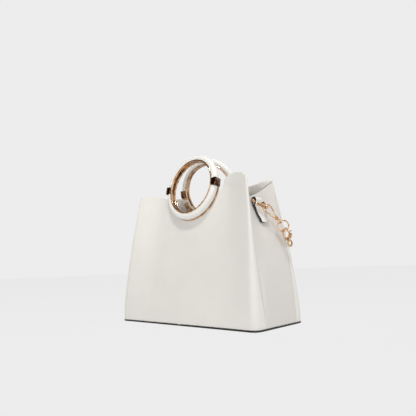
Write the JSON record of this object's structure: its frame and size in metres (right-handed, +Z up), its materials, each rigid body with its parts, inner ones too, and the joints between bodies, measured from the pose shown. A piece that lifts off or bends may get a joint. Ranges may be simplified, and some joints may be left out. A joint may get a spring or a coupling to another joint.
{
  "type": "satchel handbag",
  "caption": "Small structured leather satchel with round ring handles, folded sides and a snap hook chain hanging from a side tab.",
  "frame": {"origin": "middle of the base panel's underside, where the bag stands", "axes": "+X to the side with the hanging hooks, -Y out of the front panel, +Z up"},
  "size_m": [0.3197, 0.1316, 0.2969],
  "materials": {
    "body_leather": "smooth, fine grain, satin",
    "grip_leather": "smooth, satin",
    "gold_metal": "polished rose gold plate",
    "edge_paint": "black painted edge, satin"
  },
  "bodies": {
    "bag": {"front_ring_frame": "gold_metal", "front_ring_grip": "grip_leather", "front_ring_cover": "grip_leather", "front_collar_left": "gold_metal", "front_collar_right": "gold_metal", "front_back_plate": "gold_metal", "rear_ring_frame": "gold_metal", "rear_ring_grip": "grip_leather", "rear_ring_cover": "grip_leather", "rear_collar_left": "gold_metal", "rear_collar_right": "gold_metal", "rear_back_plate": "gold_metal", "front_panel": "body_leather", "back_panel": "body_leather", "base_panel": "edge_paint", "side_right": "body_leather", "side_left": "body_leather", "tab_right": "grip_leather", "tab_left": "grip_leather", "hook_a_body": "gold_metal", "bail": "gold_metal", "swivel_eye_a": "gold_metal", "jump_ring": "gold_metal", "hook_b_body": "gold_metal"},
    "hook_a_lever": {"hook_a_gate": "gold_metal"},
    "hook_b_lever": {"hook_b_gate": "gold_metal"},
    "loose_eye": {"swivel_eye_b": "gold_metal"}
  },
  "joints": [
    {"name": "hook_a_opening", "type": "hinge", "parent": "bag", "child": "hook_a_lever", "pos_m": [0.13209, -0.0032, 0.19017], "axis": [-0.6665, 0, -0.7455], "range_deg": [0, 15], "stiffness_Nm_per_rad": 0.004, "springref_deg": -8.59},
    {"name": "hook_b_opening", "type": "hinge", "parent": "bag", "child": "hook_b_lever", "pos_m": [0.15637, 0.04041, 0.14259], "axis": [0.9401, -0.1679, -0.2967], "range_deg": [0, 20], "stiffness_Nm_per_rad": 0.004, "springref_deg": -8.59},
    {"name": "loose_eye_swivel", "type": "hinge", "parent": "bag", "child": "loose_eye", "pos_m": [0.15288, 0.04169, 0.13079], "axis": [0.0987, -0.6989, 0.7084], "continuous": true}
  ]
}
